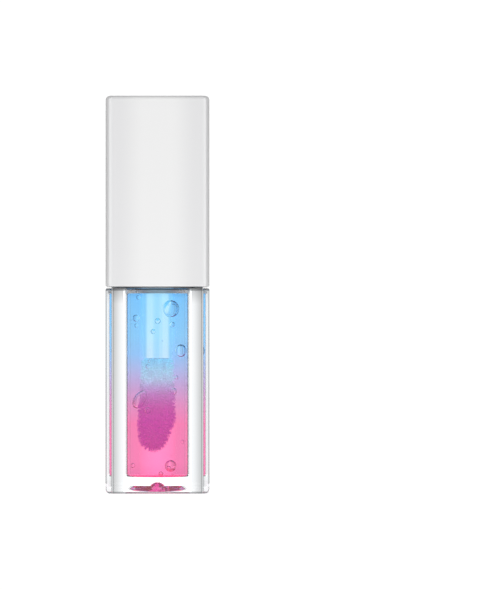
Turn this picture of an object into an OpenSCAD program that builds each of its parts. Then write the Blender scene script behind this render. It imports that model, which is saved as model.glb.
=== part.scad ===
// Square lip gloss tube: a thick clear bottle filled with two-tone gloss, a screw cap, and
// the doe-foot applicator that hangs from the cap through a wiper in the bottle's neck.
// The origin is at the centre of the base, +Z runs up the tube, and +X is the side that the
// applicator's slanted face looks towards. All sizes are in millimetres.

/* [Outside] */
// Width across the flats of the bottle and the cap
body_w = 21; // [20.8:0.1:30]
// Radius of the four upright corners
corner_r = 1.6; // [1:0.1:3]
// Width that the facets on the bottle's corners take off each side
facet_w = 1.3; // [1:0.05:1.8]
// Height of the bottle, from its base to its shoulder
bottle_h = 41.4; // [36:0.1:60]
// Fillet round the bottle's base
bottle_foot_r = 0.9; // [0.3:0.1:0.9]
// Fillet round the bottle's shoulder
bottle_head_r = 0.35; // [0.2:0.05:0.9]
// Height of the outer cap
cap_h = 38.6; // [32:0.1:60]
// Fillet round the cap's top
cap_edge_r = 0.9; // [0.2:0.1:0.9]
// Fillet round the cap's open rim
cap_rim_r = 0.3; // [0.1:0.05:0.5]
// Gap between the bottle's shoulder and the closed cap
seam_gap = 0.3; // [0.1:0.05:0.6]

/* [Bottle] */
// Diameter of the round cavity, which runs straight up through the neck
cavity_d = 13.1; // [10.6:0.1:13.3]
// Thickness of the clear floor under the cavity
floor_t = 3.2; // [2.6:0.1:6]
// Fillet round the foot of the cavity
cavity_foot_r = 0.5; // [0.2:0.1:1.5]
// Wall of the neck
neck_wall = 0.95; // [0.8:0.05:1]
// Height of the neck above the shoulder
neck_h = 11.6; // [10.6:0.1:14]
// Diameter of the round recess in the base, at the table
recess_d = 14.4; // [10:0.1:16]
// Depth of the recess in the base
recess_depth = 1.45; // [0.6:0.05:1.5]
// Diameter of the moulding gate's dimple in the recess
gate_d = 3; // [2:0.1:4]
// Depth of the gate's domed dimple
gate_depth = 0.7; // [0.3:0.05:0.8]
// Diameter of the gate's stub, which hangs inside the dimple
gate_stub_d = 1; // [0.6:0.1:1.4]
// Length of the gate's stub
gate_stub_l = 0.25; // [0.15:0.05:0.3]

/* [Thread] */
// Height of the ridge on the neck
thread_h = 0.6; // [0.4:0.05:0.6]
// Rise of the thread in one turn
thread_pitch = 3; // [2.4:0.1:3.2]
// Number of turns of the ridge
thread_turns = 1.5; // [1:0.25:1.75]
// Height of the ridge inside the inner cap
cap_thread_h = 0.3; // [0.2:0.05:0.35]
// Clearance between the two crests, on the radius
thread_clear = 0.1; // [0.08:0.01:0.15]

/* [Cap] */
// Side wall of the outer cap
cap_wall = 1.2; // [1:0.05:1.25]
// Top wall of the outer cap
cap_top_t = 1.4; // [1:0.1:2.5]
// Wall of the inner cap's skirt
skirt_wall = 0.7; // [0.5:0.05:0.75]
// Thickness of the inner cap's plate
plate_t = 1.2; // [0.8:0.1:2]
// Thickness of the inner cap's cross ribs
rib_t = 1; // [0.8:0.1:2]
// Gap between the inner cap's skirt and the bottle's shoulder
skirt_gap = 0.1; // [0.05:0.01:0.4]
// Wall of the socket that holds the rod
socket_wall = 1.2; // [0.8:0.1:1.6]
// Depth of the rod in its socket
socket_l = 11; // [8:0.5:14]

/* [Wiper and sealing ring] */
// How far the wiper's flange stops short of the neck's outside
wiper_flange_in = 0.2; // [0.1:0.05:0.6]
// Thickness of the wiper's flange
wiper_flange_t = 0.8; // [0.5:0.1:1.2]
// Wall of the wiper's sleeve
wiper_wall = 0.8; // [0.6:0.1:1]
// Length of the wiper's straight sleeve
wiper_sleeve_l = 5.5; // [4:0.5:7]
// Length of the wiper below the neck's rim
wiper_l = 9; // [8:0.5:11]
// Height of the wiping lip
wiper_lip_h = 0.6; // [0.4:0.1:1]
// Clearance between the wiping lip and the rod, on the radius
wiper_clear = 0.2; // [0.15:0.01:0.25]
// Clearance between the sleeve and the neck, on the radius
sleeve_clear = 0.02; // [0.01:0.01:0.05]
// Thickness of the sealing ring
ring_t = 1; // [0.8:0.1:1.5]
// Clearance round the sealing ring, above and below it
ring_clear = 0.05; // [0.02:0.01:0.1]

/* [Applicator] */
// Outer diameter of the rod
rod_d = 6.6; // [6:0.1:6.9]
// Bore of the hollow rod
rod_bore_d = 4; // [3:0.1:4.6]
// Wall left at the rod's closed top
rod_top_t = 1.5; // [1:0.1:3]
// Diameter of the collar that seats under the inner cap
collar_d = 8.6; // [8:0.1:10]
// Length of the flocked tip, from the rod's end to its lowest point
tip_l = 18.8; // [18:0.1:24]
// Height of the tip's lowest point above the cavity's floor
tip_rise = 5.3; // [1:0.1:8]
// Thickness of the flock on the tip
flock_t = 0.8; // [0.7:0.05:0.9]
// Length of the shank that plugs the core into the rod
shank_l = 6; // [4:0.5:10]
// Clearance of the shank in the rod, on the radius
shank_clear = 0.02; // [0.01:0.01:0.05]

/* [Gloss] */
// Air left between the gloss and the shoulder's level
headroom = 1; // [0.5:0.1:4]
// Height of the pink layer above the cavity's floor
pink_h = 18.8; // [8:0.1:28]
// Clearance between the gloss and the applicator
gloss_clear = 0.05; // [0.03:0.01:0.1]

/* [Hidden] */
$fn = 96;

// How far a cut runs past the face that it opens
over = 1;
// How far a thread's ridge is sunk into its wall
sunk = 0.2;
// Facets of the round pieces inside a hull
hull_fn = 32;

// Levels, from the base up
rim_z = bottle_h + neck_h;
cap_z = bottle_h + seam_gap;
top_z = cap_z + cap_h;
ceiling_z = top_z - cap_top_t;
ring_z = rim_z + wiper_flange_t + ring_clear;
plate_z = ring_z + ring_t + ring_clear;
column_z = plate_z + plate_t;
rod_end_z = floor_t + tip_rise + tip_l;
rod_top_z = column_z + socket_l;
gloss_z = bottle_h - headroom;
split_z = floor_t + pink_h;

// Radii, from the axis out
cavity_r = cavity_d / 2;
neck_r = cavity_r + neck_wall;
crest_r = neck_r + thread_h;
cap_crest_r = crest_r + thread_clear;
skirt_bore_r = cap_crest_r + cap_thread_h;
skirt_r = skirt_bore_r + skirt_wall;
rod_r = rod_d / 2;
socket_r = rod_r + socket_wall;
lip_r = rod_r + wiper_clear;
collar_r = collar_d / 2;
sleeve_r = cavity_r - sleeve_clear;
wiper_flange_r = neck_r - wiper_flange_in;

// Slope of the wall of the recess in the base, in degrees above the table
recess_slope = 40;

// The chamfer on the neck's rim, and the width of the neck's thread at its root and crest
neck_chamfer = 0.3;
ridge_root_w = 1.3;
ridge_crest_w = 0.6;
// The neck's thread starts this far above the shoulder
thread_start = 3.2;
// The cap's ridges lie half a pitch below the neck's
cap_thread_start = thread_start - thread_pitch / 2;

// The three balls that shape the tip, each as [x from the axis, height above the lowest
// point, radius over the flock]: the full heel, the shoulder opposite it, and the end
tip_heel = [-1.5, 5.1, 2.7];
tip_shoulder = [0.9, 6.8, 2.9];
tip_end = [-0.9, 3.1, 3.1];
// The rod-sized neck at the top of the tip
tip_neck_h = 0.6;

// A filleted upright section from the axis to radius r, standing from z = 0 to z = h
module edge_section(r, h, foot_r, head_r) {
    difference() {
        square([r, h]);
        translate([r - foot_r, 0]) square([foot_r, foot_r]);
        translate([r - head_r, h - head_r]) square([head_r, head_r]);
    }
    translate([r - foot_r, foot_r]) circle(foot_r);
    translate([r - head_r, h - head_r]) circle(head_r);
}

// A slab across the whole width, with the same fillets along two of its sides
module edge_slab(w, length, h, foot_r, head_r) {
    rotate([90, 0, 0]) linear_extrude(length, center = true) {
        edge_section(w / 2, h, foot_r, head_r);
        mirror([1, 0]) edge_section(w / 2, h, foot_r, head_r);
    }
}

// A square block with rounded upright corners and filleted ends
module soft_block(w, corner, h, foot_r, head_r) {
    flat = w - 2 * corner;
    edge_slab(w, flat, h, foot_r, head_r);
    rotate(90) edge_slab(w, flat, h, foot_r, head_r);
    for (x = [-1, 1], y = [-1, 1])
        translate([x * flat / 2, y * flat / 2, 0]) rotate_extrude() intersection() {
            edge_section(corner, h, foot_r, head_r);
            square([corner, h]);
        }
}

// One corner of a thread's section at angle a: the ridge fades in and out over an eighth turn
function thread_fade(a, turns) = min(1, a / 45, (turns * 360 - a) / 45);
function thread_point(a, r, z, pitch) = [r * cos(a), r * sin(a), z + a / 360 * pitch];
function thread_section(a, wall_r, crest, turns) =
    let (reach = wall_r + (crest - wall_r) * max(0.05, thread_fade(a, turns)))
    let (back = crest > wall_r ? wall_r - sunk : wall_r + sunk)
    [
        thread_point(a, back, -ridge_root_w / 2, thread_pitch),
        thread_point(a, reach, -ridge_crest_w / 2, thread_pitch),
        thread_point(a, reach, ridge_crest_w / 2, thread_pitch),
        thread_point(a, back, ridge_root_w / 2, thread_pitch)
    ];

// A helical ridge on a round wall, standing out or in to the crest radius
module thread_ridge(wall_r, crest, turns) {
    step = 10;
    rings = turns * 360 / step;
    points = [for (i = [0:rings]) each thread_section(i * step, wall_r, crest, turns)];
    sides = [for (i = [0:rings - 1], k = [0:3])
        let (a = i * 4 + k, b = i * 4 + (k + 1) % 4)
        each [[a, b, b + 4], [a, b + 4, a + 4]]];
    last = rings * 4;
    ends = [[0, 3, 2], [0, 2, 1], [last, last + 1, last + 2], [last, last + 2, last + 3]];
    outward = crest > wall_r;
    faces = [for (f = concat(sides, ends)) outward ? f : [f[2], f[1], f[0]]];
    polyhedron(points, faces);
}

// The straight round cavity, with its filleted foot
module cavity() {
    translate([0, 0, floor_t]) rotate_extrude() {
        square([cavity_r - cavity_foot_r, rim_z]);
        translate([0, cavity_foot_r]) square([cavity_r, rim_z]);
        intersection() {
            translate([cavity_r - cavity_foot_r, cavity_foot_r]) circle(cavity_foot_r);
            square([cavity_r, cavity_r]);
        }
    }
}

// The tip's outer form, from its lowest point up to the rod's end, drawn in by inset
module tip_form(inset) {
    hull() {
        translate([0, 0, tip_l - tip_neck_h]) cylinder(tip_neck_h, r = rod_r - inset, $fn = hull_fn);
        for (ball = [tip_heel, tip_shoulder, tip_end])
            translate([ball[0], 0, ball[1]]) sphere(ball[2] - inset, $fn = hull_fn);
    }
}

// The recess with a conical wall that leaves the base a flat foot all round
module base_recess() {
    foot_r = recess_d / 2;
    rotate_extrude() polygon([
        [0, -over],
        [foot_r, -over],
        [foot_r, 0],
        [foot_r - recess_depth / tan(recess_slope), recess_depth],
        [0, recess_depth]
    ]);
}

// The domed dimple in the recess, with the moulding gate's stub hanging in it
module gate_dimple() {
    dome_r = (pow(gate_d / 2, 2) + pow(gate_depth, 2)) / (2 * gate_depth);
    difference() {
        translate([0, 0, gate_depth - dome_r]) sphere(dome_r);
        translate([0, 0, gate_depth - gate_stub_l]) cylinder(dome_r, d = gate_stub_d);
    }
}

// The bottle's outside: a soft block whose corners are cut by upright facets
module bottle_block() {
    intersection() {
        soft_block(body_w, corner_r, bottle_h, bottle_foot_r, bottle_head_r);
        rotate(45) soft_block((body_w - facet_w) * sqrt(2), corner_r, bottle_h, bottle_foot_r,
            bottle_head_r);
    }
}

module bottle() {
    color([0.86, 0.9, 0.94, 0.35]) difference() {
        union() {
            bottle_block();
            translate([0, 0, bottle_h - over]) cylinder(neck_h + over - neck_chamfer, r = neck_r);
            translate([0, 0, rim_z - neck_chamfer])
                cylinder(neck_chamfer, neck_r, neck_r - neck_chamfer);
            translate([0, 0, bottle_h + thread_start]) thread_ridge(neck_r, crest_r, thread_turns);
        }
        cavity();
        base_recess();
        translate([0, 0, recess_depth]) gate_dimple();
    }
}

module wiper() {
    funnel_t = wiper_wall / 2;
    color([0.93, 0.93, 0.9]) translate([0, 0, rim_z]) rotate_extrude() polygon([
        [sleeve_r - wiper_wall, wiper_flange_t],
        [wiper_flange_r, wiper_flange_t],
        [wiper_flange_r, 0],
        [sleeve_r, 0],
        [sleeve_r, -wiper_sleeve_l],
        [lip_r + funnel_t, -wiper_l],
        [lip_r, -wiper_l],
        [lip_r, wiper_lip_h - wiper_l],
        [sleeve_r - wiper_wall, wiper_wall - wiper_sleeve_l]
    ]);
}

// The gloss between two levels, with room for the applicator in it
module gloss(low_z, high_z) {
    difference() {
        intersection() {
            cavity();
            translate([0, 0, low_z]) cylinder(high_z - low_z, r = cavity_r + over);
        }
        translate([0, 0, rod_end_z - over]) cylinder(bottle_h, r = rod_r + gloss_clear);
        translate([0, 0, floor_t + tip_rise]) tip_form(-gloss_clear);
    }
}

module gloss_pink() {
    color([1, 0.55, 0.75, 0.9]) gloss(floor_t, split_z);
}

module gloss_blue() {
    color([0.5, 0.79, 1, 0.9]) gloss(split_z, gloss_z);
}

module sealing_ring() {
    ring_r = skirt_bore_r - ring_clear;
    hole_r = collar_r + 4 * ring_clear;
    color([0.95, 0.95, 0.95]) translate([0, 0, ring_z]) difference() {
        cylinder(ring_t, r = ring_r);
        translate([0, 0, -over]) cylinder(ring_t + 2 * over, r = hole_r);
    }
}

module cap_shell() {
    inner_w = body_w - 2 * cap_wall;
    inner_corner = corner_r - cap_wall;
    inner_flat = inner_w - 2 * inner_corner;
    color([0.97, 0.97, 0.97]) translate([0, 0, cap_z]) difference() {
        soft_block(body_w, corner_r, cap_h, cap_rim_r, cap_edge_r);
        translate([0, 0, -over]) linear_extrude(cap_h - cap_top_t + over) {
            square([inner_w, inner_flat], center = true);
            square([inner_flat, inner_w], center = true);
            for (x = [-1, 1], y = [-1, 1])
                translate([x * inner_flat / 2, y * inner_flat / 2]) circle(inner_corner);
        }
    }
}

module inner_cap() {
    skirt_z = bottle_h + skirt_gap;
    rib_w = body_w - 2 * cap_wall;
    color([0.9, 0.9, 0.9]) {
        difference() {
            union() {
                translate([0, 0, skirt_z]) cylinder(column_z - skirt_z, r = skirt_r);
                for (turn = [0, 90])
                    rotate(turn) translate([-rib_w / 2, -rib_t / 2, column_z - plate_t / 2])
                        cube([rib_w, rib_t, ceiling_z - column_z + plate_t / 2]);
                translate([0, 0, column_z - plate_t / 2])
                    cylinder(socket_l + socket_wall + plate_t / 2, r = socket_r);
            }
            translate([0, 0, skirt_z - over]) cylinder(plate_z - skirt_z + over, r = skirt_bore_r);
            translate([0, 0, plate_z - over]) cylinder(rod_top_z - plate_z + over, r = rod_r);
        }
        translate([0, 0, bottle_h + cap_thread_start])
            thread_ridge(skirt_bore_r, cap_crest_r, thread_turns);
    }
}

module applicator_rod() {
    color([0.92, 0.94, 0.97]) difference() {
        union() {
            translate([0, 0, rod_end_z]) cylinder(rod_top_z - rod_end_z, r = rod_r);
            translate([0, 0, ring_z]) cylinder(plate_z - ring_z, r = collar_r);
        }
        translate([0, 0, rod_end_z - over])
            cylinder(rod_top_z - rod_top_t - rod_end_z + over, d = rod_bore_d);
    }
}

module applicator_core() {
    color([0.9, 0.85, 0.9]) {
        translate([0, 0, floor_t + tip_rise]) tip_form(flock_t);
        translate([0, 0, rod_end_z]) cylinder(shank_l, r = rod_bore_d / 2 - shank_clear);
    }
}

module applicator_flock() {
    color([0.78, 0.5, 0.75]) translate([0, 0, floor_t + tip_rise]) difference() {
        tip_form(0);
        tip_form(flock_t);
        translate([0, 0, tip_l - tip_neck_h]) cylinder(tip_neck_h + over, r = rod_r - flock_t);
    }
}

bottle();
wiper();
gloss_pink();
gloss_blue();
sealing_ring();
cap_shell();
inner_cap();
applicator_rod();
applicator_core();
applicator_flock();
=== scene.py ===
# %% [markdown]
# # A square lip gloss tube
# A clear, thick-walled bottle holds gloss in two colours that melt into each other. A white
# screw cap carries a hollow rod with a flocked doe-foot tip, which stands in the gloss.
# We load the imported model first, because its pieces give the sizes and places of all that follows.

# %% Load the model
import math
import bmesh
import bpy
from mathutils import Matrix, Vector


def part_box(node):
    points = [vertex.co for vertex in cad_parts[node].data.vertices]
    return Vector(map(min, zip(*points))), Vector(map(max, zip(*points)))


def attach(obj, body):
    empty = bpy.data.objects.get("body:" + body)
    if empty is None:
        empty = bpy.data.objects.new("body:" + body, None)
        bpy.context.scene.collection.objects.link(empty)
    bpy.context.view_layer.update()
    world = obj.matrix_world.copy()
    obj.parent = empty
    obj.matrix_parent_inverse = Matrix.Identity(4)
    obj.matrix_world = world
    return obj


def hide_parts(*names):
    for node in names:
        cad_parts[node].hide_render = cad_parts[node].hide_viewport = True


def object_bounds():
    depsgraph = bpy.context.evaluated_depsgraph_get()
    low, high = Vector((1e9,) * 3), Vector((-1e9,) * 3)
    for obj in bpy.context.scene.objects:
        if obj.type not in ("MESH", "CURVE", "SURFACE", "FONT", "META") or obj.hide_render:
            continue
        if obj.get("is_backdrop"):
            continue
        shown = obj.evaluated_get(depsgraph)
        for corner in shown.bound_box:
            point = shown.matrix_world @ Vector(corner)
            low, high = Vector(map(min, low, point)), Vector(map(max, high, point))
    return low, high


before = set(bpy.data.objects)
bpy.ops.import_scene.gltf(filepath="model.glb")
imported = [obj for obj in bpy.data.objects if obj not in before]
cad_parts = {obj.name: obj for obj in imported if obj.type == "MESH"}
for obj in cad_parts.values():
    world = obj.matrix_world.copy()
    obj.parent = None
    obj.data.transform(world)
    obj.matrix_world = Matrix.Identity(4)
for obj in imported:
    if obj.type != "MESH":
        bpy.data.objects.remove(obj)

MM = 0.001
cad_low, cad_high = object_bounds()

# %% [markdown]
# ## Sizes
# The bottle, the cap and the gloss are rebuilt below with truly round corners. Their sizes come
# from the model's own boxes. Only what a box can't say is given, such as a fillet's radius.

# %% Read the sizes
SEAM_GAP = 0.3 * MM
NECK_WALL = 0.95 * MM
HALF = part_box("cap_shell")[1].x
CAP_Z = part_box("cap_shell")[0].z
TOP_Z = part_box("cap_shell")[1].z
RIM_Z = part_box("bottle")[1].z
SHOULDER_Z = CAP_Z - SEAM_GAP
FLOOR_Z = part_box("gloss_pink")[0].z
GLOSS_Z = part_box("gloss_blue")[1].z
CAVITY_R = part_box("gloss_pink")[1].x
NECK_R = CAVITY_R + NECK_WALL
CORNER_R = 1.6 * MM
print("shoulder at", round(SHOULDER_Z / MM, 2), "mm, cavity radius", round(CAVITY_R / MM, 2), "mm")

# %% [markdown]
# ## The camera
# The camera stands low, a little above the table, and aims at the tube's middle. It is far enough
# away that upright edges stay upright. The lens shift slides the picture sideways without turning
# the camera, so the tube keeps its straight face.

# %% Place the camera
SENSOR_W = 36
CAMERA_FAR = 0.9
CAMERA_Z = 30 * MM
FRAME_H = 118.9 * MM
SIDE_SHIFT = 0.1407

middle = (cad_low + cad_high) / 2
camera_data = bpy.data.cameras.new("camera")
camera_data.sensor_width = SENSOR_W
camera_data.lens = SENSOR_W * (CAMERA_FAR - HALF) / FRAME_H
camera_data.shift_x = SIDE_SHIFT
camera_data.clip_start = 0.01
camera_data.clip_end = 20
camera = bpy.data.objects.new("camera", camera_data)
camera.location = (0, -CAMERA_FAR, CAMERA_Z)
camera.rotation_euler = (math.pi / 2 + math.atan((middle.z - CAMERA_Z) / CAMERA_FAR), 0, 0)
bpy.context.scene.collection.objects.link(camera)
bpy.context.scene.camera = camera
print("lens", round(camera_data.lens, 1), "mm")

# %% [markdown]
# ## Helpers for meshes
# Every turned or moulded shape here is a stack of rings with the same number of points, joined
# like the slices of a loaf. A square ring can then meet a round one, which is how the square
# shoulder turns into the round neck. Points sit close together where a flat meets a rounded
# corner, so that smooth shading keeps the flats truly flat.

# %% Rings
CORNER_STEPS = 10
FLAT_STEPS = 21
HOLD = 0.06 * MM


def in_quarter(points, quarter, z):
    """Flat points turned by a number of quarter turns and lifted to a height."""
    c, s = math.cos(quarter * math.pi / 2), math.sin(quarter * math.pi / 2)
    return [(x * c - y * s, x * s + y * c, z) for x, y in points]


def square_ring(half, corner, z):
    """A rounded square, anticlockwise from the lower end of its right side."""
    flat = half - corner
    side = []
    for step in range(FLAT_STEPS + 1):
        share = max(0, min(1, (step - 1) / (FLAT_STEPS - 2)))
        along = -flat + HOLD * (step > 0) + (2 * flat - 2 * HOLD) * share
        side.append((half, flat if step == FLAT_STEPS else along))
    for step in range(1, CORNER_STEPS):
        angle = math.pi / 2 * step / CORNER_STEPS
        side.append((flat + corner * math.cos(angle), flat + corner * math.sin(angle)))
    return [point for quarter in range(4) for point in in_quarter(side, quarter, z)]


RING_POINTS = len(square_ring(HALF, CORNER_R, 0))


def round_ring(radius, z):
    """A circle with as many points as a square ring, and the same starting corner."""
    start = -math.pi / 4
    turns = [start + 2 * math.pi * i / RING_POINTS for i in range(RING_POINTS)]
    return [(radius * math.cos(a), radius * math.sin(a), z) for a in turns]


print("each ring has", RING_POINTS, "points")

# %% [markdown]
# ## Helpers that make a piece
# A loft joins neighbouring rings with four-sided faces and closes both ends. Smooth shading hides
# the facets of a round wall, and a sharp angle keeps the real edges crisp.

# %% Lofts
def new_mesh(name, points, faces, sharp_angle=35):
    """A smooth-shaded object whose corners stay crisp where faces meet at more than the angle."""
    mesh = bpy.data.meshes.new(name)
    mesh.from_pydata(points, [], faces)
    mesh.validate()
    mesh.shade_smooth()
    mesh.set_sharp_from_angle(angle=math.radians(sharp_angle))
    piece = bpy.data.objects.new(name, mesh)
    bpy.context.scene.collection.objects.link(piece)
    return piece


def loft(name, rings, sharp_angle=35):
    """Joins rings of equal length into a skin, closed by a fan of triangles at each end."""
    count = len(rings[0])
    points = [p for ring in rings for p in ring]
    faces = []
    for level in range(len(rings) - 1):
        for i in range(count):
            a, b = level * count + i, level * count + (i + 1) % count
            faces.append((a, b, b + count, a + count))
    for first, is_end in ((0, False), ((len(rings) - 1) * count, True)):
        centre = sum((Vector(p) for p in points[first:first + count]), Vector()) / count
        points.append(tuple(centre))
        hub = len(points) - 1
        for i in range(count):
            face = (first + i, first + (i + 1) % count, hub)
            faces.append(face if is_end else face[::-1])
    piece = new_mesh(name, points, faces, sharp_angle)
    print(name, "has", len(faces), "faces")
    return piece


def arc(start_deg, end_deg, steps):
    """Angles in radians from one to the other, both ends included."""
    return [math.radians(start_deg + (end_deg - start_deg) * i / steps) for i in range(steps + 1)]


def face_out(piece):
    """Turns every face of a closed piece outwards."""
    work = bmesh.new()
    work.from_mesh(piece.data)
    bmesh.ops.recalc_face_normals(work, faces=work.faces)
    work.to_mesh(piece.data)
    work.free()


print("a quarter circle in two steps:", [round(math.degrees(a)) for a in arc(0, 90, 2)])

# %% [markdown]
# ## Helpers for materials
# Colours are written as the hex values a designer would quote and turned to linear light once.
# One small function adds a node with its settings and its links.

# %% Material helpers
def linear(hex_colour):
    """A hex sRGB colour as linear RGBA."""
    parts = [int(hex_colour[i:i + 2], 16) / 255 for i in (1, 3, 5)]
    parts = [c / 12.92 if c <= 0.04045 else ((c + 0.055) / 1.055) ** 2.4 for c in parts]
    return (*parts, 1.0)


def new_material(name):
    """An empty node material with its Principled shader already joined to the output."""
    material = bpy.data.materials.new(name)
    material.use_nodes = True
    material.node_tree.nodes.clear()
    output = material.node_tree.nodes.new("ShaderNodeOutputMaterial")
    shader = material.node_tree.nodes.new("ShaderNodeBsdfPrincipled")
    material.node_tree.links.new(shader.outputs["BSDF"], output.inputs["Surface"])
    return material, shader


def add(tree, kind, inputs=None, **settings):
    """Adds a node. inputs maps a socket's name or number to a value, or to a socket to link."""
    node = tree.nodes.new(kind)
    for key, value in settings.items():
        setattr(node, key, value)
    for key, value in (inputs or {}).items():
        if isinstance(value, bpy.types.NodeSocket):
            tree.links.new(value, node.inputs[key])
        else:
            node.inputs[key].default_value = value
    return node


def per_mm(size_mm):
    """The scale of a noise texture on Object coordinates whose grains are this many mm wide."""
    return 1 / (size_mm * MM)


def speckle(tree, size_mm):
    """Noise fixed to the piece, with grains of a real size, as a socket from 0 to 1."""
    place = add(tree, "ShaderNodeTexCoord").outputs["Object"]
    return add(tree, "ShaderNodeTexNoise", {"Vector": place, "Scale": per_mm(size_mm)}).outputs[0]


NOISE_LOW = 0.3
NOISE_HIGH = 0.7


def spread(tree, source, low, high):
    """Maps the range that noise mostly keeps to onto a range of values."""
    node = add(tree, "ShaderNodeMapRange", {0: source, 1: NOISE_LOW, 2: NOISE_HIGH, 3: low, 4: high})
    return node.outputs[0]


def grain(tree, shader, size_mm, height_mm):
    """A fine bump of a real width and height."""
    bump = add(tree, "ShaderNodeBump", {"Height": speckle(tree, size_mm), "Distance": height_mm * MM})
    tree.links.new(bump.outputs[0], shader.inputs["Normal"])


def tint(tree, shader, size_mm, first, second):
    """Base Color that drifts between two close colours in patches of a real size."""
    noise = spread(tree, speckle(tree, size_mm), 0, 1)
    mix = add(tree, "ShaderNodeMix", {0: noise, 6: linear(first), 7: linear(second)}, data_type="RGBA")
    tree.links.new(mix.outputs[2], shader.inputs["Base Color"])


def set_stops(node, stops):
    """Fills a colour ramp from (position, linear RGBA) pairs, and gives its colour socket."""
    elements = node.color_ramp.elements
    for number, (position, colour) in enumerate(stops):
        stop = elements[number] if number < 2 else elements.new(position)
        stop.position = position
        stop.color = colour
    return node.outputs[0]


def output_of(tree):
    """A material's output node."""
    return next(node for node in tree.nodes if node.type == "OUTPUT_MATERIAL")


print("a 1 mm grain needs a noise scale of", per_mm(1))

# %% [markdown]
# ## Injection-moulded clear plastic
# The bottle is a thick-walled clear copolyester, which bends light a little more than acrylic: its
# index of refraction is about 1.57. Polished steel moulds leave it glass-smooth, with only a faint
# flow ripple. Where the gloss touches the wall there is no air between them, so light crosses
# straight from plastic into gloss. One boundary is enough for that, and its index is the ratio of
# the two, about 1.08. Above the level the wall keeps a smeared film of gloss, which is rough.
# Edges of clear plastic look dark, because the light that reaches them comes from far to the side.
# That is painted shade here: a number on each face paints them dark, and Layer Weight greys slanted faces.

# %% Clear plastics
PLASTIC_IOR = 1.57
GLOSS_IOR = 1.46
SLANT_SHADE_FROM = 0.42
SLANT_SHADE_FULL = 0.8
SLANT_SHADE_TONE = "#A0A2A4"
EDGE_SHADE_TONE = "#3A3C3E"


def clear_copolyester():
    """Against air: glass-clear, with a very faint ripple, a breath of roughness and painted shade on its edges.
    """
    material, shader = new_material("copolyester_moulded_clear")
    tree = material.node_tree
    shader.inputs["Transmission Weight"].default_value = 1
    shader.inputs["IOR"].default_value = PLASTIC_IOR
    # Painted shade: faces seen at a slant are painted grey.
    slant_shade = add(tree, "ShaderNodeLayerWeight", {"Blend": 0.5}).outputs["Facing"]
    slant_shade = add(tree, "ShaderNodeMapRange", {0: slant_shade, 1: SLANT_SHADE_FROM, 2: SLANT_SHADE_FULL}).outputs[0]
    patch = spread(tree, speckle(tree, 9), 0, 1)
    clean = add(tree, "ShaderNodeMix",
                {0: patch, 6: linear("#FBFCFD"), 7: linear("#F7FAFC")}, data_type="RGBA")
    mix = add(tree, "ShaderNodeMix",
              {0: slant_shade, 6: clean.outputs[2], 7: linear(SLANT_SHADE_TONE)}, data_type="RGBA")
    # Painted shade: faces marked on the outer edges get a dark colour.
    painted_edge_shade = add(tree, "ShaderNodeAttribute", attribute_name="painted_edge_shade").outputs["Fac"]
    shaded_colour = add(tree, "ShaderNodeMix", {0: painted_edge_shade, 6: mix.outputs[2], 7: linear(EDGE_SHADE_TONE)}, data_type="RGBA")
    tree.links.new(shaded_colour.outputs[2], shader.inputs["Base Color"])
    tree.links.new(spread(tree, speckle(tree, 4), 0.0, 0.012), shader.inputs["Roughness"])
    return material


def wetted_copolyester():
    """Against the gloss: the same plastic, with the index of one medium seen from the other."""
    material, shader = new_material("copolyester_wetted_by_gloss")
    tree = material.node_tree
    shader.inputs["Transmission Weight"].default_value = 1
    shader.inputs["IOR"].default_value = PLASTIC_IOR / GLOSS_IOR
    tint(tree, shader, 9, "#FFFFFF", "#FCFDFF")
    shader.inputs["Roughness"].default_value = 0
    return material


def smeared_shaded_copolyester():
    """Above the level: an uneven film of gloss spreads the light, and a grey-tan colour is painted shade."""
    material, shader = new_material("copolyester_smeared_painted_shade")
    tree = material.node_tree
    shader.inputs["Transmission Weight"].default_value = 1
    shader.inputs["IOR"].default_value = PLASTIC_IOR
    # Painted shade: the grey-tan colour stands for the shade under the cap.
    tint(tree, shader, 1.5, "#CAC6C2", "#BEBBB8")
    tree.links.new(spread(tree, speckle(tree, 0.8), 0.45, 0.6), shader.inputs["Roughness"])
    return material


print("wetted wall index", round(PLASTIC_IOR / GLOSS_IOR, 3))

# %% [markdown]
# ## The screw thread
# The bottle is one moulding: a square block with a straight round cavity, and a screw neck on top.
# Its thread is a rule, not a swept profile: the neck's radius grows where a point lies on the
# helix. That keeps the neck one clean skin, with no shapes to join afterwards.

# %% Thread rule
THREAD_H = 0.6 * MM
THREAD_PITCH = 3.0 * MM
THREAD_TURNS = 1.5
THREAD_START = 3.2 * MM
THREAD_FADE = 1 / 8
RIDGE_ROOT = 1.3 * MM
RIDGE_CREST = 0.6 * MM


def ease(share):
    """A soft step from 0 to 1."""
    share = max(0.0, min(1.0, share))
    return share * share * (3 - 2 * share)


def ridge(angle, height):
    """How far the neck's wall stands out at an angle and a height above the shoulder."""
    best = 0.0
    for turn in range(int(THREAD_TURNS) + 1):
        gone = angle / (2 * math.pi) + turn
        centre = THREAD_START + gone * THREAD_PITCH
        away = abs(height - centre)
        flank = ease((RIDGE_ROOT / 2 - away) / (RIDGE_ROOT / 2 - RIDGE_CREST / 2))
        fade = ease(gone / THREAD_FADE) * ease((THREAD_TURNS - gone) / THREAD_FADE)
        best = max(best, flank * fade)
    return best * THREAD_H


def neck_ring(z):
    """The neck's outside at one height, with the thread standing out of it."""
    ring = []
    for x, y, _ in round_ring(1, z):
        angle = math.atan2(y, x) % (2 * math.pi)
        radius = NECK_R + ridge(angle, z - SHOULDER_Z)
        ring.append((radius * x, radius * y, z))
    return ring

print("ridge is", round(max(ridge(math.pi, mm * MM) for mm in range(12)) / MM, 2), "mm high")

# %% [markdown]
# ## The base
# A moulded bottle is filled with plastic through a gate at the middle of its base. The gate leaves
# a small stub, so makers sink it in a domed dimple, and sink that in a wide round recess, which
# lets the bottle stand on its outer foot. We follow the outline outwards from the stub, ring by
# ring. A pair of rings close together, HOLD apart, keeps a flat flat right up to its edge.

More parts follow.
